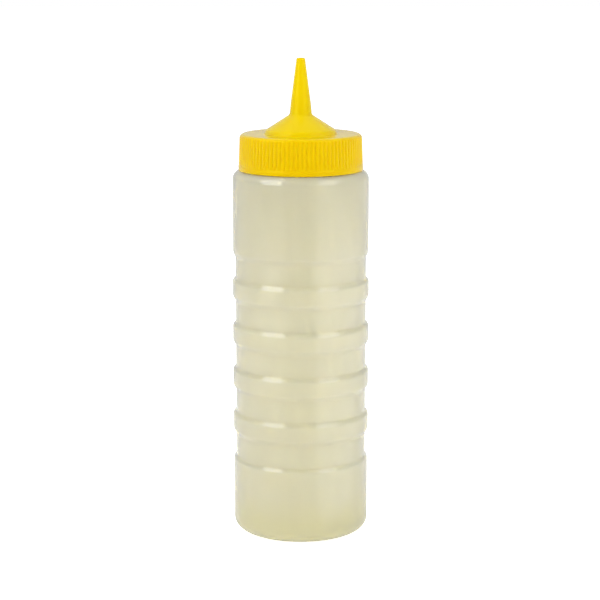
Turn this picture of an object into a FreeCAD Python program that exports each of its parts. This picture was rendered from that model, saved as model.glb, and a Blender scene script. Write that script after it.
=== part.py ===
"""Sauce squeeze bottle: a ringed, thin-walled bottle and its ribbed cap with a cone nozzle.

Two mouldings, each one solid in its own body, in millimetres. +Z is up and the origin is the
centre of the base, on the surface that the bottle stands on. Both pieces are round about Z, so
each starts as a half-section in the XZ plane, turned about Z and then hollowed to its wall.
"""
import FreeCAD, Part
import Sketcher
import math
import os
import re

# name, value, meaning. Lengths are in mm and radii are outside radii unless the meaning says more.
SIZES = [
    # the bottle
    ("body_radius", 35.15, "plain body, below the grip"),
    ("body_height", 189.73, "base to the flat top of the shoulder"),
    ("wall", 1.0, "blown wall of the bottle"),
    ("heel_round", 5.6, "edge between the base and the body"),
    ("shoulder_round", 4.66, "edge between the body and the top of the shoulder"),
    ("foot_setback", 11.15, "body's side in to the inner edge of the ring that the bottle stands on"),
    ("push_up", 3.0, "how far the middle of the base is pushed up"),
    ("push_up_slope", 9.0, "width of the slope from the standing ring to the middle of the base"),
    ("push_up_round", 3.0, "edges of that slope"),
    # the grip: a sunk panel with raised rings
    ("grip_low", 38.85, "base to the lower end of the sunk panel"),
    ("panel_depth", 1.2, "how far the panel is sunk below the body"),
    ("foot_groove", 14.1, "lower end of the panel to the first ring"),
    ("ring_land", 9.85, "height of a ring, middle of one slope to middle of the other"),
    ("ring_pitch", 23.6, "from ring to ring"),
    ("ring_count", 4, "rings on the panel"),
    ("ring_rise", 0.3, "how far the rings stand proud of the body"),
    ("head_groove", 13.15, "last ring to the upper end of the panel"),
    ("slope", 1.66, "height of the slope at each side of a ring and each end of the panel"),
    ("soft_round", 1.9, "edges of those slopes"),
    # the neck
    ("neck_setback", 6.25, "how much smaller the neck's radius is than the body's"),
    ("neck_wall", 1.6, "wall of the neck, which is thicker than the blown wall"),
    ("neck_round", 1.2, "root of the neck, on the shoulder"),
    # the cap
    ("cap_gap", 0.4, "shoulder to the lower edge of the screwed-down cap"),
    ("cap_height", 18.8, "lower edge of the cap to its flat top"),
    ("cap_wall", 1.5, "moulded wall of the cap, the dome and the nozzle"),
    ("cap_clearance", 1.0, "neck to the inside of the skirt, at its narrow upper end"),
    ("skirt_draft", 2.0, "slant of the skirt from the vertical, in degrees"),
    ("cap_round", 2.14, "edge between the skirt and the flat top"),
    ("bead_height", 2.3, "smooth bead round the lower edge of the skirt"),
    ("bead_rise", 0.15, "how far the bead stands proud of the ribs"),
    ("bead_round", 0.7, "edges of the bead"),
    ("rib_count", 90, "grip ribs round the skirt"),
    ("rib_height", 0.38, "valley to crest of a rib"),
    ("valley_width", 1.5, "width of the valley between two ribs, at the crests"),
    # the dome and the nozzle
    ("dome_radius", 18.98, "foot of the dome, on the flat top"),
    ("dome_edge_width", 1.22, "width of the steep edge round the dome"),
    ("dome_edge_height", 2.07, "height of that steep edge"),
    ("dome_rise", 7.73, "top of the steep edge to the root of the nozzle"),
    ("dome_round", 2.0, "edge between the steep edge and the cone of the dome"),
    ("nozzle_radius", 5.72, "root of the nozzle, on the dome"),
    ("nozzle_round", 2.0, "root of the nozzle"),
    ("collar_height", 5.47, "lower, steeper length of the nozzle"),
    ("collar_taper", 0.53, "how much the radius shrinks over the collar"),
    ("collar_round", 5.0, "edge between the collar and the rest of the nozzle"),
    ("nozzle_length", 23.3, "collar to the tip"),
    ("tip_radius", 2.16, "tip of the nozzle"),
    ("tip_round", 0.35, "outer edge of the tip"),
    ("orifice_radius", 1.0, "hole in the tip"),
]
NAMES = {name for name, value, meaning in SIZES}

# What follows from the sizes above, as formulas of their names.
RING_RADIUS = "(body_radius + ring_rise)"
PANEL_RADIUS = "(body_radius - panel_depth)"
FOOT_RADIUS = "(body_radius - foot_setback)"
FIRST_RING = "(grip_low + foot_groove)"
GRIP_HIGH = "(grip_low + foot_groove + (ring_count - 1) * ring_pitch + ring_land + head_groove)"
NECK_RADIUS = "(body_radius - neck_setback)"
CAP_LOW = "(body_height + cap_gap)"
CAP_TOP = "(body_height + cap_gap + cap_height)"
LIP = "(body_height + cap_gap + cap_height - cap_wall)"
SKIRT_TOP_RADIUS = "(body_radius - neck_setback + cap_clearance + cap_wall)"
BEAD_TOP = "(body_height + cap_gap + bead_height)"
DOME_EDGE_TOP = f"({CAP_TOP} + dome_edge_height)"
NOZZLE_ROOT = f"({DOME_EDGE_TOP} + dome_rise)"
COLLAR_TOP = f"({NOZZLE_ROOT} + collar_height)"
TIP = f"({COLLAR_TOP} + nozzle_length)"

doc = FreeCAD.newDocument("sauce_squeeze_bottle")


def add_sheet():
    """The driving dimensions, one to a row: name, value, meaning."""
    sheet = doc.addObject("Spreadsheet::Sheet", "dims")
    for row, (name, value, meaning) in enumerate(SIZES, start=1):
        sheet.set(f"A{row}", name)
        sheet.set(f"B{row}", str(value))
        sheet.set(f"C{row}", meaning)
        sheet.setAlias(f"B{row}", name)
    doc.recompute()
    return sheet


sheet = add_sheet()


def bound(formula):
    """A formula of plain size names, as an expression that reads the sheet."""
    return re.sub(r"[a-z_]+", lambda word: f"dims.{word[0]}" if word[0] in NAMES else word[0], formula)


def number(formula):
    """What a formula comes to now."""
    return float(sheet.evalExpression(bound(formula)))


def skirt_radius(height):
    """Radius of the skirt's crests at a height: it widens downwards by its draft."""
    return f"({SKIRT_TOP_RADIUS} + ({CAP_TOP} - {height}) * tan(skirt_draft * 1deg))"


# ---------------------------------------------------------------- sketches

def add_sketch(body, name, role, height=None):
    """An empty sketch on one of the body's own planes, lifted to a height if one is given."""
    sketch = body.newObject("Sketcher::SketchObject", name)
    plane = next(item for item in body.Origin.OriginFeatures if item.Role == role)
    sketch.AttachmentSupport = (plane, [""])
    sketch.MapMode = "FlatFace"
    if height:
        sketch.setExpression("AttachmentOffset.Base.z", bound(height))
    return sketch


def hold(sketch, kind, formula, *where):
    """One dimension of a sketch, bound to the sheet."""
    index = sketch.addConstraint(Sketcher.Constraint(kind, *where, number(formula)))
    sketch.setExpression(f"Constraints[{index}]", bound(formula))


def hold_point(sketch, geometry, end, across, up):
    """Hold a point by its two distances from the origin, or on an axis where one is zero."""
    for kind, axis, formula in (("DistanceX", -2, across), ("DistanceY", -1, up)):
        if formula == "0":
            sketch.addConstraint(Sketcher.Constraint("PointOnObject", geometry, end, axis))
        else:
            hold(sketch, kind, formula, -1, 1, geometry, end)


def draw_outline(sketch, corners):
    """A closed outline through corners, each (across, up) or (across, up, radius of its rounding).

    Straight sides run from corner to corner. A rounded corner is an arc tangent to its two sides,
    and the point where those sides would meet is kept and dimensioned in place of the arc's ends.
    """
    places = [FreeCAD.Vector(number(corner[0]), number(corner[1]), 0) for corner in corners]
    rounds = [number(corner[2]) if len(corner) > 2 else 0 for corner in corners]
    starts, ends, middles = [], [], []
    for index, place in enumerate(places):
        to_last = (places[index - 1] - place).normalize()
        to_next = (places[(index + 1) % len(places)] - place).normalize()
        half_angle = to_last.getAngle(to_next) / 2
        cut = rounds[index] / math.tan(half_angle)
        inwards = rounds[index] / math.sin(half_angle) - rounds[index]
        starts.append(place + to_last * cut)
        ends.append(place + to_next * cut)
        middles.append(place + (to_last + to_next).normalize() * inwards)

    sides = []
    for index in range(len(places)):
        side = Part.LineSegment(ends[index], starts[(index + 1) % len(places)])
        sides.append(sketch.addGeometry(side, False))

    for index, corner in enumerate(corners):
        before, after = sides[index - 1], sides[index]
        if rounds[index]:
            arc = sketch.addGeometry(Part.Arc(starts[index], middles[index], ends[index]), False)
            # an arc of a sketch runs anticlockwise, so its first point may be on either side
            first_is_start = sketch.getPoint(arc, 1).distanceToPoint(starts[index]) < 1e-6
            first, last = (1, 2) if first_is_start else (2, 1)
            sketch.addConstraint(Sketcher.Constraint("Tangent", before, 2, arc, first))
            sketch.addConstraint(Sketcher.Constraint("Tangent", arc, last, after, 1))
            hold(sketch, "Radius", corner[2], arc)
            point, end = sketch.addGeometry(Part.Point(places[index]), True), 1
            sketch.addConstraint(Sketcher.Constraint("PointOnObject", point, end, before))
            sketch.addConstraint(Sketcher.Constraint("PointOnObject", point, end, after))
        else:
            sketch.addConstraint(Sketcher.Constraint("Coincident", before, 2, after, 1))
            point, end = after, 1
        hold_point(sketch, point, end, corner[0], corner[1])
    return sketch


def turn(body, name, corners):
    """Material that a half-section in the XZ plane makes when it is turned about Z."""
    sketch = draw_outline(add_sketch(body, f"{name}_section", "XZ_Plane"), corners)
    feature = body.newObject("PartDesign::Revolution", name)
    feature.Profile = sketch
    feature.ReferenceAxis = (sketch, ["V_Axis"])
    feature.Angle = 360
    doc.recompute()
    return feature


def hollow(body, name, base, thickness, open_face):
    """Turn a body's solid into a wall of one thickness, measured inwards, open at one face."""
    feature = body.newObject("PartDesign::Thickness", name)
    feature.Base = (base, [open_face])
    feature.Mode = "Skin"
    feature.Join = "Intersection"
    feature.Reversed = True
    feature.setExpression("Value", bound(thickness))
    doc.recompute()
    return feature


def flat_face_at(feature, height):
    """Name of the level face at a height."""
    for index, face in enumerate(feature.Shape.Faces, start=1):
        level = face.BoundBox.ZLength < 1e-6 and isinstance(face.Surface, Part.Plane)
        if level and abs(face.BoundBox.ZMin - number(height)) < 1e-4:
            return f"Face{index}"
    raise ValueError(f"{feature.Name} has no level face at {height}")


def circle_at(feature, radius, height):
    """Name of the round edge about Z with this radius, at this height."""
    for index, edge in enumerate(feature.Shape.Edges, start=1):
        if isinstance(edge.Curve, Part.Circle) and edge.BoundBox.ZLength < 1e-6:
            same_height = abs(edge.BoundBox.ZMin - number(height)) < 1e-4
            if same_height and abs(edge.Curve.Radius - number(radius)) < 1e-4:
                return f"Edge{index}"
    raise ValueError(f"{feature.Name} has no round edge at {height}")


# ---------------------------------------------------------------- the bottle

def slope_corners(low_radius, high_radius, middle):
    """The two softened corners of a slope that goes from one radius up to another."""
    return [
        (low_radius, f"({middle} - slope / 2)", "soft_round"),
        (high_radius, f"({middle} + slope / 2)", "soft_round"),
    ]


def add_bottle():
    """Blown bottle: pushed-up base, sunk grip with raised rings, round shoulder and open neck."""
    body = doc.addObject("PartDesign::Body", "bottle")
    body.Label = "bottle"

    turn(body, "blank", [
        ("0", "push_up"),
        (f"({FOOT_RADIUS} - push_up_slope)", "push_up", "push_up_round"),
        (FOOT_RADIUS, "0", "push_up_round"),
        ("body_radius", "0", "heel_round"),
        *slope_corners("body_radius", PANEL_RADIUS, "grip_low"),
        *slope_corners(PANEL_RADIUS, "body_radius", GRIP_HIGH),
        ("body_radius", "body_height", "shoulder_round"),
        (NECK_RADIUS, "body_height", "neck_round"),
        (NECK_RADIUS, LIP),
        ("0", LIP),
    ])

    # A ring starts inside the panel's wall, and its soft lower and upper edges run out on the panel.
    ring_top = f"({FIRST_RING} + ring_land)"
    ring_root = f"({PANEL_RADIUS} - wall / 2)"
    below = f"({FIRST_RING} - slope / 2 - soft_round)"
    above = f"({ring_top} + slope / 2 + soft_round)"
    ring = turn(body, "ring", [
        (ring_root, below),
        (PANEL_RADIUS, below),
        *slope_corners(PANEL_RADIUS, RING_RADIUS, FIRST_RING),
        *slope_corners(RING_RADIUS, PANEL_RADIUS, ring_top),
        (PANEL_RADIUS, above),
        (ring_root, above),
    ])
    rings = body.newObject("PartDesign::LinearPattern", "rings")
    rings.Originals = [ring]
    rings.Direction = (ring.Profile[0], ["V_Axis"])
    rings.setExpression("Length", bound("(ring_count - 1) * ring_pitch"))
    rings.setExpression("Occurrences", bound("ring_count"))
    body.Tip = rings
    doc.recompute()

    hollow(body, "shell", rings, "wall", flat_face_at(rings, LIP))

    # The neck is thicker than the blown wall: a lining inside it, from the shoulder to the lip.
    bore = f"({NECK_RADIUS} - neck_wall)"
    turn(body, "neck_lining", [
        (bore, "body_height"),
        (f"({NECK_RADIUS} - wall / 2)", "body_height"),
        (f"({NECK_RADIUS} - wall / 2)", LIP),
        (bore, LIP),
    ])
    return body


# ---------------------------------------------------------------- the cap

def draw_valley(body, name, height):
    """The V between two ribs, as it is cut at one height: point inwards, open outwards."""
    sketch = add_sketch(body, name, "XY_Plane", height)
    crest = skirt_radius(height)
    # the V runs on past the crests, to as far again outside them
    draw_outline(sketch, [
        (f"({crest} - rib_height)", "0"),
        (f"({crest} + rib_height)", "valley_width"),
        (f"({crest} + rib_height)", "(-valley_width)"),
    ])
    return sketch


def add_cap():
    """Moulded cap: ribbed skirt with a smooth bead, flat top, dome and hollow cone nozzle."""
    body = doc.addObject("PartDesign::Body", "cap")
    body.Label = "cap"

    blank = turn(body, "cap_blank", [
        ("0", CAP_LOW),
        (skirt_radius(CAP_LOW), CAP_LOW),
        (SKIRT_TOP_RADIUS, CAP_TOP, "cap_round"),
        ("dome_radius", CAP_TOP),
        ("(dome_radius - dome_edge_width)", DOME_EDGE_TOP, "dome_round"),
        ("nozzle_radius", NOZZLE_ROOT, "nozzle_round"),
        ("(nozzle_radius - collar_taper)", COLLAR_TOP, "collar_round"),
        ("tip_radius", TIP),
        ("0", TIP),
    ])
    hollow(body, "cap_shell", blank, "cap_wall", flat_face_at(blank, CAP_LOW))

    bead_root = f"({skirt_radius(BEAD_TOP)} - cap_wall / 2)"
    bead_radius = f"({skirt_radius(BEAD_TOP)} + bead_rise)"
    bead = turn(body, "bead", [
        (bead_root, CAP_LOW),
        (bead_radius, CAP_LOW, "bead_round"),
        (bead_radius, BEAD_TOP, "bead_round"),
        (bead_root, BEAD_TOP),
    ])

    # Valleys between the ribs run from the bead up, slant with the skirt, and fade out where the
    # rounded edge of the flat top draws back from them.
    valley = body.newObject("PartDesign::SubtractiveLoft", "valley")
    valley.Profile = draw_valley(body, "valley_low", BEAD_TOP)
    valley.Sections = [draw_valley(body, "valley_high", CAP_TOP)]
    valley.Ruled = True
    doc.recompute()
    valleys = body.newObject("PartDesign::PolarPattern", "valleys")
    valleys.Originals = [valley]
    valleys.Axis = (bead.Profile[0], ["V_Axis"])
    valleys.Angle = 360
    valleys.setExpression("Occurrences", bound("rib_count"))
    body.Tip = valleys
    doc.recompute()

    hole_outline = add_sketch(body, "orifice_outline", "XY_Plane", TIP)
    circle = Part.Circle(FreeCAD.Vector(), FreeCAD.Vector(0, 0, 1), number("orifice_radius"))
    hole_outline.addGeometry(circle, False)
    hole_outline.addConstraint(Sketcher.Constraint("Coincident", 0, 3, -1, 1))
    hold(hole_outline, "Radius", "orifice_radius", 0)
    orifice = body.newObject("PartDesign::Pocket", "orifice")
    orifice.Profile = hole_outline
    orifice.setExpression("Length", bound("nozzle_length"))
    doc.recompute()

    tip_edge = body.newObject("PartDesign::Fillet", "tip_edge")
    tip_edge.Base = (orifice, [circle_at(orifice, "tip_radius", TIP)])
    tip_edge.setExpression("Radius", bound("tip_round"))
    doc.recompute()
    return body


# ---------------------------------------------------------------- build, check and write

def check(pieces):
    """Stop if any object of the document failed, or a piece isn't one valid solid."""
    for item in doc.Objects:
        if {"Invalid", "Error"} & set(item.State):
            raise RuntimeError(f"{item.Name} is {item.State}")
    for piece in pieces:
        shape = piece.Shape
        if shape.isNull() or not shape.isValid() or len(shape.Solids) != 1:
            raise RuntimeError(f"{piece.Label} isn't one valid solid")


def main():
    pieces = [add_bottle(), add_cap()]
    doc.recompute()
    check(pieces)
    os.makedirs("parts", exist_ok=True)
    for piece in pieces:
        piece.Shape.exportStep(f"parts/{piece.Label}.step")
        box = piece.Shape.optimalBoundingBox(False)
        print(f"{piece.Label}: {piece.Shape.Volume / 1000:.2f} cm3, {len(piece.Shape.Faces)} faces,"
              f" z {box.ZMin:.2f} to {box.ZMax:.2f}, across {box.XLength:.2f} by {box.YLength:.2f}")


main()
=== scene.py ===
# %% [markdown]
# # A sauce squeeze bottle
#
# The object is two plastic mouldings. The bottle is blown from soft, undyed polyethylene: it is
# milky and slightly yellow, and light goes through its thin wall. The cap is one injection
# moulding in yellow: a ribbed skirt, a flat top, a low dome and a long hollow nozzle.
#
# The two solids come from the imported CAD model, which Blender treats as a fixed frame. Here each
# is modelled again as a clean, smooth mesh in the same place, because a see-through wall needs
# even faces inside and out, and the cap's ribs need round crests.

# %% The frame
import math

import bmesh
import bpy
from mathutils import Matrix, Vector


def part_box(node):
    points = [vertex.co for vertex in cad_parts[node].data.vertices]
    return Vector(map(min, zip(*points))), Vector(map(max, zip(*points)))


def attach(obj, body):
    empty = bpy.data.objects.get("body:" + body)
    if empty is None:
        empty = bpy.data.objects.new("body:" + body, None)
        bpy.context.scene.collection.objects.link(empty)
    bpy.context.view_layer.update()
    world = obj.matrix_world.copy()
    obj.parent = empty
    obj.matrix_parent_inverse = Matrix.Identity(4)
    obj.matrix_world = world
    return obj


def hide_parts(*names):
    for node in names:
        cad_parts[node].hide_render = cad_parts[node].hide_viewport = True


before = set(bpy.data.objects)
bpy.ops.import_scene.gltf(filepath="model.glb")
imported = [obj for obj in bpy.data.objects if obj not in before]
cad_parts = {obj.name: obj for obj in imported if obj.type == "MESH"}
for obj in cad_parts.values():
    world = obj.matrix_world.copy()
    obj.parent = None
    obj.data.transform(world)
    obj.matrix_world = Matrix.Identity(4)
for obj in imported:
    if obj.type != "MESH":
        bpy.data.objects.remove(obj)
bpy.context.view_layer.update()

# %% [markdown]
# ## Sizes
#
# Blender works in metres and the drawing is in millimetres, so `MM` turns one into the other.
# Heights and radii that both tools must agree on are read from the boxes of the CAD solids: the
# ring radius, the lip of the bottle, and the lower edge and tip of the cap. The smaller features
# are added to these or taken away from them, so they move with the solids. Each corner of an
# outline also has a rounding, the radius of its soft edge.

# %% Sizes of the bottle
MM = 0.001
bottle_high = Vector(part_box("bottle")[1]) / MM

RING_RADIUS = bottle_high.x
RING_RISE = 0.3
BODY_RADIUS = RING_RADIUS - RING_RISE
PANEL_DEPTH = 1.2
PANEL_RADIUS = BODY_RADIUS - PANEL_DEPTH
LIP = bottle_high.z
WALL = 1.0
HEEL_ROUND = 5.6
FOOT_RADIUS = 24.0
PUSH_UP = 3.0
PUSH_UP_SLOPE = 9.0
PUSH_UP_ROUND = 3.0
GRIP_LOW = 38.85
FOOT_GROOVE = 14.1
FIRST_RING = GRIP_LOW + FOOT_GROOVE
RING_LAND = 9.85
RING_PITCH = 23.6
RING_COUNT = 4
HEAD_GROOVE = 13.15
GRIP_HIGH = FIRST_RING + (RING_COUNT - 1) * RING_PITCH + RING_LAND + HEAD_GROOVE
SLOPE = 1.66
SOFT_ROUND = 1.9
UNDERSLOPE = 2.6
UNDER_ROUND = 2.8
NECK_SETBACK = 6.25
NECK_RADIUS = BODY_RADIUS - NECK_SETBACK
NECK_WALL = 1.6
NECK_ROUND = 1.2
SHOULDER_ROUND = 4.66
SHOULDER_RISE = 0.6
print(f"body {2 * BODY_RADIUS:.1f} across, grip from {GRIP_LOW:.1f} to {GRIP_HIGH:.1f}")

# %% Sizes of the cap
cap_low, cap_high = (Vector(corner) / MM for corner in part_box("cap"))

CAP_LOW = cap_low.z
TIP = cap_high.z
CAP_HEIGHT = 18.8
CAP_TOP = CAP_LOW + CAP_HEIGHT
SHOULDER = CAP_LOW - 0.15
SKIRT_LOW = CAP_LOW + 0.3
CAP_WALL = 1.5
CAP_CLEARANCE = 1.0
SKIRT_TOP_RADIUS = NECK_RADIUS + CAP_CLEARANCE + CAP_WALL
SKIRT_DRAFT = math.tan(math.radians(2.0))
CAP_ROUND = 2.14
BEAD_HEIGHT = 2.3
BEAD_RISE = 0.15
BEAD_BLEND = 0.35
RIB_COUNT = 90
RIB_HEIGHT = 0.55
print(f"shoulder at {SHOULDER:.1f}, top of the skirt at {CAP_TOP:.1f}, tip at {TIP:.1f}")

# %% [markdown]
# ## Camera
#
# A product like this is usually shot with a long lens from a little above, so that upright lines
# stay almost upright and the top of the cap just shows. The camera stands about 0.93 m away and
# 0.3 m up, a hair to the left of the axis, and looks down by 11 degrees.

# %% Camera
CAMERA_DISTANCE = 0.9329
CAMERA_HEIGHT = 0.3047
CAMERA_TILT = math.radians(11.09)
CAMERA_LEFT = 0.0004
CAMERA_LENS = 109.2
SENSOR_WIDTH = 36

camera = bpy.data.objects.new("camera", bpy.data.cameras.new("camera"))
camera.data.lens = CAMERA_LENS
camera.data.sensor_width = SENSOR_WIDTH
camera.location = (-CAMERA_LEFT, -CAMERA_DISTANCE, CAMERA_HEIGHT)
camera.rotation_euler = (math.pi / 2 - CAMERA_TILT, 0, 0)
bpy.context.collection.objects.link(camera)
bpy.context.scene.camera = camera
print("lens", camera.data.lens, "mm")

# %% [markdown]
# ## Light
#
# Shiny round plastic shows its lights as reflections, so the lamps are placed by what they should
# draw on it. Two large soft boxes lean in left and right above the bottle with a gap between
# them: they draw the short bright dashes on the shoulder and on the upper slope of each ring, and
# the gap keeps the middle free. They end above the table, because a lamp that reached lower would
# be mirrored in the upright wall and hide the dashes. Further round stands a dim wall on each
# side, the left one very faint. Each lamp is given by the edge that matters, which is easier to
# aim than a middle and an angle.

# %% Light
MIDDLE = Vector((0, 0, 0.17))


def add_panel(name, start, end, width, radiance, facing=MIDDLE):
    """A rectangular lamp with one edge from start to end, given by how bright its face looks.

    It reaches sideways from that edge by its width, to the other side if the width is negative,
    and its face looks towards a place.
    """
    start, end = Vector(start), Vector(end)
    along = (end - start).normalized()
    across = along.cross(facing - start).normalized()
    lamp = bpy.data.objects.new(name, bpy.data.lights.new(name, "AREA"))
    lamp.data.shape = "RECTANGLE"
    lamp.data.size = abs(width)
    lamp.data.size_y = (end - start).length
    lamp.data.energy = math.pi * lamp.data.size * lamp.data.size_y * radiance
    lamp.location = (start + end) / 2 + across * width / 2
    turn = Matrix((-across, along, -across.cross(along))).transposed()
    lamp.rotation_euler = turn.to_euler()
    lamp.visible_camera = False
    bpy.context.collection.objects.link(lamp)
    print(f"{name}: {abs(width):.2f} x {(end - start).length:.2f} m, radiance {radiance}")


for name, start, end, width, radiance in [
    ("left_panel", (-0.51, -0.82, 0.28), (-0.25, -0.23, 1.05), 0.55, 2.55),
    ("left_wall", (-1.20, -0.60, 0.25), (-0.92, 0.15, 0.95), 0.80, 0.04),
    ("right_panel", (0.43, -0.84, 0.28), (0.295, -0.21, 1.05), -0.55, 1.8),
    ("right_wall", (1.10, -0.50, 0.30), (0.90, 0.15, 0.95), -0.80, 0.2),
]:
    add_panel(name, start, end, width, radiance)

# %% [markdown]
# ## Table lights
#
# Two strips of light lie on the table and run towards the bottle, as lit paper or low reflectors
# do in a studio. The upright wall mirrors them as broad, faint bands. Each ends 60 mm from the
# bottle's axis, so its band starts low on the wall.

# %% Table lights
ABOVE = Vector((0, 0, 2))
TABLE_LIFT = Vector((0, 0, 0.002))
FAR_END = 3.0
NEAR_END = 0.06

for name, turn, width, radiance in [
    ("left_table", math.radians(-29.4), -0.4, 0.12),
    ("right_table", math.radians(25.8), 1.0, 0.5),
]:
    outwards = Vector((math.sin(turn), -math.cos(turn), 0))
    far = outwards * FAR_END + TABLE_LIFT
    near = outwards * NEAR_END + TABLE_LIFT
    add_panel(name, far, near, width, radiance, ABOVE)

# %% [markdown]
# ## Surround
#
# The picture behind the bottle is pure white. That comes from what the camera sees and not from
# more light: a ray straight from the camera finds a white world, and a ray that goes through the
# plastic finds a part of that white, while the light that the world gives stays at a plain level.
# A node tree states such a rule, and a helper that adds a node and fills its inputs in one go
# keeps the tree easy to read.

# %% Adding nodes
def feed(tree, socket, value):
    """Give a socket a value: another socket is linked to it, a plain value is set."""
    if isinstance(value, bpy.types.NodeSocket):
        tree.links.new(value, socket)
    else:
        socket.default_value = value


def add_node(tree, kind, *numbered, operation=None, **named):
    """A node with some inputs fed, by their place or by their name with _ for a space."""
    node = tree.nodes.new(kind)
    if operation:
        node.operation = operation
    for index, value in enumerate(numbered):
        feed(tree, node.inputs[index], value)
    for name, value in named.items():
        feed(tree, node.inputs[name.replace("_", " ")], value)
    return node


# %% What the picture sees
SEEN_THROUGH = 0.5


def picture_ray_share(tree):
    """1 for rays straight to the camera, and a part of that for rays through the plastic."""
    path = tree.nodes.new("ShaderNodeLightPath")
    share = add_node(
        tree,
        "ShaderNodeMath",
        path.outputs["Is Transmission Ray"],
        SEEN_THROUGH,
        path.outputs["Is Camera Ray"],
        operation="MULTIPLY_ADD",
    )
    return share.outputs[0]


# %% [markdown]
# ## The room's light
#
# The room is brighter in front of the bottle than behind it, and brightest overhead, which gives
# the round pieces their shape. On a world, the Generated coordinates are the direction of a ray,
# so a ramp along one of their axes makes the light change from one side of the room to the other.

# %% Ramps and backgrounds
def ramp(tree, source, start, end, first, last):
    """A value that goes from first to last while a source goes from start to end."""
    node = add_node(
        tree,
        "ShaderNodeMapRange",
        Value=source,
        From_Min=start,
        From_Max=end,
        To_Min=first,
        To_Max=last,
    )
    return node.outputs[0]


def white_world(tree, strength):
    """A white background of a strength."""
    node = add_node(tree, "ShaderNodeBackground", Color=(1, 1, 1, 1), Strength=strength)
    return node.outputs[0]


# %% The room's light
FRONT_LIGHT = 0.43
BEHIND_LIGHT = 0.22
ROOM_CHANGE = (-0.8, 0.8)
OVERHEAD_SHARE = 2.6
OVERHEAD_CHANGE = (0.4, 0.9)

world = bpy.data.worlds.new("surround")
world.use_nodes = True
bpy.context.scene.world = world
tree = world.node_tree
tree.nodes.clear()

whole_sky = tree.nodes.new("ShaderNodeTexCoord")
direction = add_node(tree, "ShaderNodeSeparateXYZ", Vector=whole_sky.outputs["Generated"])
depth, level = direction.outputs["Y"], direction.outputs["Z"]
room_light = add_node(
    tree,
    "ShaderNodeMath",
    ramp(tree, depth, *ROOM_CHANGE, FRONT_LIGHT, BEHIND_LIGHT),
    ramp(tree, level, *OVERHEAD_CHANGE, 1.0, OVERHEAD_SHARE),
    operation="MULTIPLY",
)
lighting = white_world(tree, room_light.outputs[0])
print("the room's light goes from", FRONT_LIGHT, "in front to", BEHIND_LIGHT, "behind")

# %% [markdown]
# ## The mirrored room
#
# A ray that the gloss mirrors finds a third surround, a plain grey room that is lighter behind
# the bottle than in front of it. If it found the white of the picture, the gloss would wash out
# the colours. Two mix nodes then choose between the three surrounds by the kind of ray.

# %% The mirrored room
FRONT_MIRRORED = 0.38
BEHIND_MIRRORED = 0.66
MIRRORED_CHANGE = (-0.3, 0.3)
PICTURE_WHITE = 1.0

mirrored_light = ramp(tree, depth, *MIRRORED_CHANGE, FRONT_MIRRORED, BEHIND_MIRRORED)
mirrored = white_world(tree, mirrored_light)
backdrop = white_world(tree, PICTURE_WHITE)
path = tree.nodes.new("ShaderNodeLightPath")
unseen = add_node(tree, "ShaderNodeMixShader", path.outputs["Is Glossy Ray"], lighting, mirrored)
chosen = add_node(
    tree, "ShaderNodeMixShader", picture_ray_share(tree), unseen.outputs[0], backdrop
)
add_node(tree, "ShaderNodeOutputWorld", Surface=chosen.outputs[0])

bpy.context.scene.view_settings.view_transform = "Standard"
print("nodes in the surround:", len(tree.nodes))

# %% [markdown]
# ## Floor
#
# The bottle stands on a wide, matte white sheet. The sheet glows a little, as lit paper round a
# product does, and it glows more for the picture, so it is as white as the world behind it. It
# keeps a trace of the bottle's shadow, because the glow is added to the light that falls on it.

# %% Floor
FLOOR_SIZE = 8.0
FLOOR_GLOW = 0.18
PICTURE_GLOW = 0.52
SHEET_WHITE = (0.9, 0.9, 0.9, 1)

floor_mesh = bmesh.new()
bmesh.ops.create_grid(floor_mesh, x_segments=1, y_segments=1, size=FLOOR_SIZE)
floor_data = bpy.data.meshes.new("floor")
floor_mesh.to_mesh(floor_data)
floor_mesh.free()
floor = bpy.data.objects.new("floor", floor_data)
bpy.context.collection.objects.link(floor)

white_sheet = bpy.data.materials.new("white_sheet")
white_sheet.use_nodes = True
tree = white_sheet.node_tree
sheet_shader = tree.nodes["Principled BSDF"]
sheet_shader.inputs["Base Color"].default_value = SHEET_WHITE
sheet_shader.inputs["Roughness"].default_value = 0.9
glow_strength = add_node(
    tree,
    "ShaderNodeMath",
    picture_ray_share(tree),
    PICTURE_GLOW,
    FLOOR_GLOW,
    operation="MULTIPLY_ADD",
)
sheet_shader.inputs["Emission Color"].default_value = (1, 1, 1, 1)
tree.links.new(glow_strength.outputs[0], sheet_shader.inputs["Emission Strength"])
floor_data.materials.append(white_sheet)
print("floor", 2 * FLOOR_SIZE, "m across")

# %% [markdown]
# ## Turning an outline
#
# Both pieces are round, so each is made as on a lathe: draw half of the cross-section, then spin
# it about the upright axis. The outline is a chain of a few corners. A vertex bevel rounds each
# corner by its own radius, and long straight edges are cut up so that the smooth shading of a
# rounded edge doesn't spread over the flat beside it.

# %% Turning an outline
ARC_STEP = math.radians(9)
LONGEST_EDGE = 2.6


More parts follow.
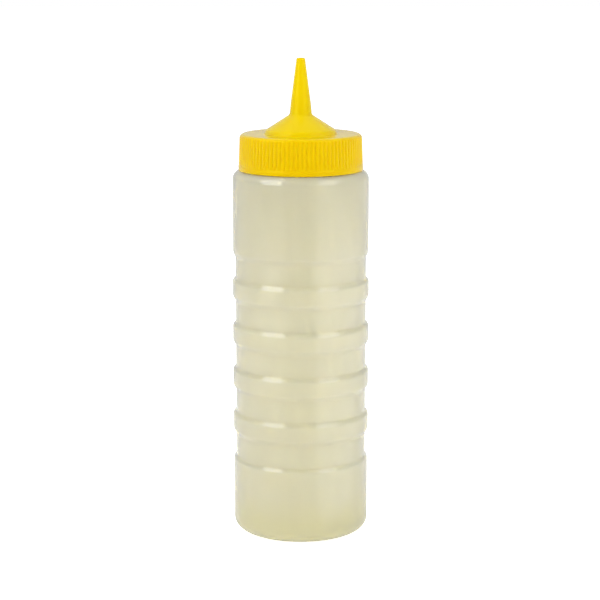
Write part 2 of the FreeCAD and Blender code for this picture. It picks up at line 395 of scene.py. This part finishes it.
def draw_outline(corners, closed=False):
    """A chain of edges through corners, each (radius, height, rounding) in millimetres."""
    mesh = bmesh.new()
    places = [Vector((radius, 0, height)) * MM for radius, height, _ in corners]
    points = [mesh.verts.new(place) for place in places]
    for point, following in zip(points, points[1:]):
        mesh.edges.new((point, following))
    if closed:
        mesh.edges.new((points[-1], points[0]))
    for index, (_, _, rounding) in enumerate(corners):
        if not rounding:
            continue
        back = places[index - 1] - places[index]
        on = places[(index + 1) % len(places)] - places[index]
        bend = math.pi - back.angle(on)
        bmesh.ops.bevel(
            mesh,
            geom=[points[index]],
            affect="VERTICES",
            offset=rounding * MM * math.tan(bend / 2),
            segments=max(2, round(bend / ARC_STEP)),
            profile=0.5,
            material=-1,
        )
    for edge in [edge for edge in mesh.edges if edge.calc_length() > LONGEST_EDGE * MM]:
        cuts = math.ceil(edge.calc_length() / (LONGEST_EDGE * MM)) - 1
        bmesh.ops.subdivide_edges(mesh, edges=[edge], cuts=cuts)
    return mesh


# %% [markdown]
# ## The bottle's outline
#
# From the middle of the base outwards and up: the middle is pushed up, so that the bottle stands
# on a ring and can't rock. Then come the round heel, the plain body and the grip, a panel sunk by
# about a millimetre with four raised rings, which stiffen the wall and stop wet hands slipping.
# The plastic is stretched over the mould as it is blown, so an underside comes out with a longer
# and softer slope than a top side, and each slope is drawn with the corners of its own kind.
# Above it are the plain upper body, the round shoulder and the neck, which the cap hides.

# %% The bottle's outline
def slope_corners(low_radius, high_radius, middle):
    """The two soft corners of a slope from one radius up to another, longer on an underside."""
    tall, rounding = (UNDERSLOPE, UNDER_ROUND) if high_radius > low_radius else (SLOPE, SOFT_ROUND)
    return [
        (low_radius, middle - tall / 2, rounding),
        (high_radius, middle + tall / 2, rounding),
    ]


# each corner is a radius, a height and a rounding
bottle_corners = [
    (0, PUSH_UP, 0),
    (FOOT_RADIUS - PUSH_UP_SLOPE, PUSH_UP, PUSH_UP_ROUND),
    (FOOT_RADIUS, 0, PUSH_UP_ROUND),
    (BODY_RADIUS, 0, HEEL_ROUND),
    *slope_corners(BODY_RADIUS, PANEL_RADIUS, GRIP_LOW),
]
for ring in range(RING_COUNT):
    ring_low = FIRST_RING + ring * RING_PITCH
    bottle_corners += slope_corners(PANEL_RADIUS, RING_RADIUS, ring_low)
    bottle_corners += slope_corners(RING_RADIUS, PANEL_RADIUS, ring_low + RING_LAND)
bottle_corners += [
    *slope_corners(PANEL_RADIUS, BODY_RADIUS, GRIP_HIGH),
    (BODY_RADIUS, SHOULDER, SHOULDER_ROUND),
    (NECK_RADIUS, SHOULDER + SHOULDER_RISE, NECK_ROUND),
    (NECK_RADIUS, LIP, 0),
]
bottle_mesh = draw_outline(bottle_corners)
print("points on the bottle's outline:", len(bottle_mesh.verts))

# %% [markdown]
# ## The bottle's wall
#
# The spin gives the outer skin, and `solidify` gives it the one-millimetre wall of the blown
# bottle, so that light bends at four surfaces on its way through, as in the real one. The neck is
# thicker: its inner face is scaled inwards.

# %% Spinning an outline
MERGE_WITHIN = 0.002


def spin_outline(mesh, steps, sectors=1):
    """Turn the outline once about the upright axis and close the seams and the poles.

    A fine spin is made as one sector that is then repeated, because that is much quicker.
    """
    axis = {"cent": (0, 0, 0), "axis": (0, 0, 1)}
    if sectors > 1:
        bmesh.ops.spin(
            mesh,
            geom=mesh.verts[:] + mesh.edges[:],
            angle=2 * math.pi / sectors,
            steps=steps // sectors,
            **axis,
        )
    bmesh.ops.spin(
        mesh,
        geom=mesh.verts[:] + mesh.edges[:] + mesh.faces[:],
        angle=2 * math.pi,
        steps=sectors if sectors > 1 else steps,
        use_merge=True,
        use_duplicate=sectors > 1,
        **axis,
    )
    bmesh.ops.remove_doubles(mesh, verts=mesh.verts[:], dist=MERGE_WITHIN * MM)
    bmesh.ops.recalc_face_normals(mesh, faces=mesh.faces[:])


# %% The bottle's skin
BOTTLE_STEPS = 128

spin_outline(bottle_mesh, BOTTLE_STEPS)
print("faces of the outer skin:", len(bottle_mesh.faces))

# %% The bottle's wall
bmesh.ops.solidify(bottle_mesh, geom=bottle_mesh.faces[:], thickness=WALL * MM)


def radius_of(vertex):
    """Distance of a point from the upright axis, in millimetres."""
    return math.hypot(vertex.co.x, vertex.co.y) / MM


bore = [
    vertex
    for vertex in bottle_mesh.verts
    if vertex.co.z > (SHOULDER + NECK_ROUND) * MM and radius_of(vertex) < NECK_RADIUS - WALL / 2
]
narrower = (NECK_RADIUS - NECK_WALL) / (NECK_RADIUS - WALL)
bmesh.ops.scale(bottle_mesh, vec=(narrower, narrower, 1), verts=bore)
print(f"{len(bore)} points moved in for the neck, volume {bottle_mesh.calc_volume() * 1e6:.1f} cm3")

# %% [markdown]
# ## Painted light on upward faces
#
# The upper slope of each ring and the other faces of the grip that tilt upwards are given a
# lighter colour: painted light from above. The upward tilt of the outer face is stored on every
# point of the grip as an attribute, which the material then reads. The tilt follows the surface by
# itself, so no slope has to be found by its height.

# %% Painted light on upward faces
# painted light: a face that tilts up by this much gets the full lighter colour
FULL_PAINTED_LIGHT_TILT = 0.45

painted_slope_light = bottle_mesh.verts.layers.float.new("painted_slope_light")
bottle_mesh.normal_update()
for vertex in bottle_mesh.verts:
    if GRIP_LOW - SLOPE < vertex.co.z / MM < GRIP_HIGH:
        faces_out = vertex.normal.xy.dot(vertex.co.xy) > 0
        tilt = vertex.normal.z if faces_out else -vertex.normal.z
        vertex[painted_slope_light] = min(1, max(0, tilt / FULL_PAINTED_LIGHT_TILT))
print("stretched points:", sum(vertex[painted_slope_light] > 0.5 for vertex in bottle_mesh.verts))

# %% [markdown]
# ## The bottle's plastic
#
# Undyed polyethylene is milky: it scatters light inside the wall, so what is behind it shows as
# soft colour and never as an image. Half of the light here goes through on a rough, tinted path
# and half is scattered under the skin. The plastic is thicker round the base, where the tube was
# pinched shut, so the colour deepens over the lowest two centimetres. The colour is also lighter
# on faces that tilt upwards, such as the upper slope of each ring: that is painted light from
# above. The skin is smooth and takes a clear coat of gloss, which mirrors the soft
# boxes sharply while the colour under it stays soft. Slow, low waves tilt that gloss a little, as
# the uneven wall of a blown bottle does.

# %% Helpers for colour
def new_material(name):
    """An empty node material with a Principled shader; returns both and its tree."""
    material = bpy.data.materials.new(name)
    material.use_nodes = True
    tree = material.node_tree
    return material, tree, tree.nodes["Principled BSDF"]


def height_share(tree, low, high):
    """0 below one height of the piece and 1 above another, both in millimetres."""
    place = tree.nodes.new("ShaderNodeTexCoord")
    split = add_node(tree, "ShaderNodeSeparateXYZ", Vector=place.outputs["Object"])
    return ramp(tree, split.outputs["Z"], low * MM, high * MM, 0, 1)


def mixed_colour(tree, share, first, second):
    """A colour between two others, each a plain colour or a socket."""
    node = tree.nodes.new("ShaderNodeMix")
    node.data_type = "RGBA"
    # a Mix node has sockets for each kind of data: 6 and 7 take colours, and output 2 is one
    for index, value in [(0, share), (6, first), (7, second)]:
        feed(tree, node.inputs[index], value)
    return node.outputs[2]


# %% The bottle's colour
NATURAL_COLOUR = (0.935, 0.885, 0.595, 1)
DEEPER_COLOUR = (0.95, 0.89, 0.49, 1)
# the lighter colour is painted light from above, on faces that tilt upwards
PAINTED_LIGHT_COLOUR = (1.0, 0.96, 0.66, 1)
DEEPEST_BELOW, EVEN_ABOVE = 10, 24

natural, tree, shader = new_material("natural_polyethylene")
above_base = height_share(tree, DEEPEST_BELOW, EVEN_ABOVE)
wall_colour = mixed_colour(tree, above_base, DEEPER_COLOUR, NATURAL_COLOUR)
# painted light: the upward tilt mixes the wall colour towards the lighter colour
painted_light_share = tree.nodes.new("ShaderNodeAttribute")
painted_light_share.attribute_name = "painted_slope_light"
bottle_colour = mixed_colour(tree, painted_light_share.outputs["Fac"], wall_colour, PAINTED_LIGHT_COLOUR)
tree.links.new(bottle_colour, shader.inputs["Base Color"])
print("colours of the wall from", DEEPER_COLOUR[:3], "up to", PAINTED_LIGHT_COLOUR[:3])

# %% Helpers for texture
def object_noise(tree, scale, detail, stretch=(1, 1, 1)):
    """Noise in the piece's own coordinates, drawn out along an axis if asked."""
    place = tree.nodes.new("ShaderNodeTexCoord")
    turned = add_node(tree, "ShaderNodeMapping", Vector=place.outputs["Object"], Scale=stretch)
    noise = add_node(
        tree, "ShaderNodeTexNoise", Vector=turned.outputs[0], Scale=scale, Detail=detail
    )
    return noise.outputs[0]


def relief(tree, source, strength, distance):
    """A bumped normal from a height signal."""
    node = add_node(
        tree, "ShaderNodeBump", Strength=strength, Distance=distance, Height=source
    )
    return node.outputs[0]


# %% The bottle's milkiness and gloss
MILKY_ROUGHNESS = (0.70, 0.80)

shader.inputs["IOR"].default_value = 1.5
shader.inputs["Transmission Weight"].default_value = 0.5
shader.inputs["Subsurface Weight"].default_value = 1.0
shader.inputs["Subsurface Radius"].default_value = (1.0, 0.95, 0.8)
shader.inputs["Subsurface Scale"].default_value = 0.010
shader.inputs["Coat Weight"].default_value = 1.0
shader.inputs["Coat Roughness"].default_value = 0.06
shader.inputs["Coat IOR"].default_value = 1.8
cloud = object_noise(tree, scale=900, detail=2)
tree.links.new(ramp(tree, cloud, 0, 1, *MILKY_ROUGHNESS), shader.inputs["Roughness"])
waves = object_noise(tree, scale=70, detail=2, stretch=(1, 1, 0.35))
low_waves = relief(tree, waves, strength=0.08, distance=0.0004)
tree.links.new(low_waves, shader.inputs["Normal"])
print(natural.name, "has", len(tree.nodes), "nodes")

# %% The finished bottle
def make_piece(name, mesh, material):
    """An object of its own for a finished mesh, smooth all over."""
    data = bpy.data.meshes.new(name)
    mesh.to_mesh(data)
    mesh.free()
    data.polygons.foreach_set("use_smooth", [True] * len(data.polygons))
    data.materials.append(material)
    piece = bpy.data.objects.new(name, data)
    bpy.context.collection.objects.link(piece)
    triangles = sum(len(polygon.vertices) - 2 for polygon in data.polygons)
    print(f"{name}: {len(data.vertices)} vertices, {triangles} triangles")
    return piece


bottle = make_piece("bottle_wall", bottle_mesh, natural)
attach(bottle, "root")
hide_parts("bottle")

# %% [markdown]
# ## The cap's outline
#
# The whole cap is one more turned outline, closed this time: down the outside from the tip to
# the lower edge, and back up the inside of its 1.5 mm wall, so that the nozzle is open right
# through. The skirt widens a little downwards, as a moulding must to leave its mould. A low bead
# runs round its lower edge and blends into the ribs above with a short, soft slope.

# %% The cap's outline
DOME_RADIUS = 18.98
DOME_EDGE_WIDTH = 1.22
DOME_EDGE_HEIGHT = 2.07
DOME_RISE = 7.73
COLLAR_HEIGHT = 5.47
COLLAR_TAPER = 0.53
DOME_EDGE_TOP = CAP_TOP + DOME_EDGE_HEIGHT
NOZZLE_ROOT = DOME_EDGE_TOP + DOME_RISE
COLLAR_TOP = NOZZLE_ROOT + COLLAR_HEIGHT
NOZZLE_RADIUS = 5.72
COLLAR_RADIUS = NOZZLE_RADIUS - COLLAR_TAPER
TIP_RADIUS = 2.16
ORIFICE_RADIUS = 1.0


def skirt_radius(height):
    """Radius of the ribs' crests at a height."""
    return SKIRT_TOP_RADIUS + (CAP_TOP - height) * SKIRT_DRAFT


BEAD_TOP = SKIRT_LOW + BEAD_HEIGHT
BEAD_RADIUS = skirt_radius(BEAD_TOP) + BEAD_RISE
UNDERSIDE = CAP_TOP - CAP_WALL
DOME_ROOT_EASE = 0.1
NOZZLE_ROOT_DROP = 0.7
cone_taper = (COLLAR_RADIUS - TIP_RADIUS) / (TIP - COLLAR_TOP)
bore_meets_cone = COLLAR_TOP + (COLLAR_RADIUS - CAP_WALL - ORIFICE_RADIUS) / cone_taper
print(f"bead {2 * BEAD_RADIUS:.1f} across, nozzle from {NOZZLE_ROOT:.1f} to {TIP:.1f}")

# %% The cap's corners
# each corner is a radius, a height and a rounding
cap_corners = [
    # outside, from the orifice down to the lower edge
    (ORIFICE_RADIUS, TIP, 0.12),
    (TIP_RADIUS, TIP, 0.8),
    (COLLAR_RADIUS, COLLAR_TOP, 5.0),
    (NOZZLE_RADIUS, NOZZLE_ROOT, 2.0),
    (DOME_RADIUS - DOME_EDGE_WIDTH, DOME_EDGE_TOP, 2.0),
    (DOME_RADIUS, CAP_TOP, 0.2),
    (SKIRT_TOP_RADIUS, CAP_TOP, CAP_ROUND),
    (skirt_radius(BEAD_TOP), BEAD_TOP + BEAD_BLEND, 1.2),
    (BEAD_RADIUS, BEAD_TOP - BEAD_BLEND, 1.2),
    (BEAD_RADIUS, SKIRT_LOW, 0.3),
    # inside, back up to the orifice
    (skirt_radius(SKIRT_LOW) - CAP_WALL, SKIRT_LOW, 0.15),
    (SKIRT_TOP_RADIUS - CAP_WALL, UNDERSIDE, 0.5),
    (DOME_RADIUS - CAP_WALL + DOME_ROOT_EASE, UNDERSIDE, 0.3),
    (DOME_RADIUS - DOME_EDGE_WIDTH - CAP_WALL, DOME_EDGE_TOP - CAP_WALL, 0.8),
    (NOZZLE_RADIUS - CAP_WALL, NOZZLE_ROOT - NOZZLE_ROOT_DROP, 2.0),
    (COLLAR_RADIUS - CAP_WALL, COLLAR_TOP, 3.0),
    (ORIFICE_RADIUS, bore_meets_cone, 0),
]
cap_mesh = draw_outline(cap_corners, closed=True)
print("points on the cap's outline:", len(cap_mesh.verts))

# %% [markdown]
# ## The cap's ribs
#
# Ninety upright ribs give the fingers grip. They are round ridges with narrow valleys between
# them, so the spin makes six columns for each rib, and the outer skirt is then drawn in towards
# the axis by a shape that repeats ninety times. The valleys are parallel to the skirt, so they
# fade out by themselves where the rounded top edge draws back, as they do when a cutter is run
# past such an edge. At their feet they grow shallow over about a millimetre, so they meet the
# bead without a row of small dark pits.

# %% The cap's ribs
COLUMNS_PER_RIB = 6
VALLEY_SHARPNESS = 0.75
RIB_RUN_OUT = 1.2
RIB_TURN = math.radians(-0.5)
RIB_FEET = BEAD_TOP + BEAD_BLEND

spin_outline(cap_mesh, RIB_COUNT * COLUMNS_PER_RIB, sectors=RIB_COUNT)
moved = 0
for vertex in cap_mesh.verts:
    height, radius = vertex.co.z / MM, radius_of(vertex)
    if height < RIB_FEET or radius < SKIRT_TOP_RADIUS - CAP_ROUND:
        continue
    turn = math.atan2(vertex.co.y, vertex.co.x) + math.pi / 2 - RIB_TURN
    ridge = abs(math.cos(turn * RIB_COUNT / 2)) ** VALLEY_SHARPNESS
    depth = RIB_HEIGHT * min(1, (height - RIB_FEET) / RIB_RUN_OUT)
    limit = skirt_radius(height) - depth * (1 - ridge)
    if radius > limit:
        vertex.co.x *= limit / radius
        vertex.co.y *= limit / radius
        moved += 1
print("points drawn in between the ribs:", moved)

# %% [markdown]
# ## The cap's plastic
#
# The cap is solid-coloured polyethylene with a soft shine. Light goes a millimetre or so into the
# yellow before it comes back, so edges and ribs look lit from within and not painted. The dome,
# the nozzle and the flat top are given a yellow a little lighter than the skirt's: that is painted
# light from overhead. The life in the even colour comes
# from the surface: a fine mould texture that spreads the highlights, and slight flow marks.

# %% The cap's colour
PALE_FLOW = (0.76, 0.525, 0.002, 1)
DEEP_FLOW = (0.73, 0.5, 0.001, 1)
# painted light from overhead: a lighter yellow on the dome, the nozzle and the flat top
PAINTED_TOP_YELLOW = (0.765, 0.58, 0.002, 1)
PAINTED_TOP_FROM, PAINTED_TOP_ABOVE = CAP_TOP - 1.0, CAP_TOP + 0.3

yellow, tree, shader = new_material("yellow_polyethylene")
flow = object_noise(tree, scale=60, detail=3, stretch=(1, 1, 2))
skirt_yellow = mixed_colour(tree, flow, DEEP_FLOW, PALE_FLOW)
# painted overhead light, from just below the flat top upwards
painted_top_light = height_share(tree, PAINTED_TOP_FROM, PAINTED_TOP_ABOVE)
cap_colour = mixed_colour(tree, painted_top_light, skirt_yellow, PAINTED_TOP_YELLOW)
tree.links.new(cap_colour, shader.inputs["Base Color"])
print(f"the lighter yellow starts at {PAINTED_TOP_FROM:.1f} and is full at {PAINTED_TOP_ABOVE:.1f}")

# %% The cap's depth and shine
SHINE_ROUGHNESS = (0.08, 0.13)

shader.inputs["IOR"].default_value = 1.5
shader.inputs["Specular IOR Level"].default_value = 0.35
shader.inputs["Specular Tint"].default_value = (1.0, 0.88, 0.08, 1)
shader.inputs["Subsurface Weight"].default_value = 1.0
shader.inputs["Subsurface Radius"].default_value = (1.0, 0.85, 0.12)
shader.inputs["Subsurface Scale"].default_value = 0.0012
grain = object_noise(tree, scale=1500, detail=2)
tree.links.new(ramp(tree, grain, 0, 1, *SHINE_ROUGHNESS), shader.inputs["Roughness"])
fine_grain = relief(tree, grain, strength=0.15, distance=0.00004)
tree.links.new(fine_grain, shader.inputs["Normal"])
print(yellow.name, "has", len(tree.nodes), "nodes")

# %% The finished cap
cap = make_piece("yellow_cap", cap_mesh, yellow)
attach(cap, "root")
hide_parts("cap")
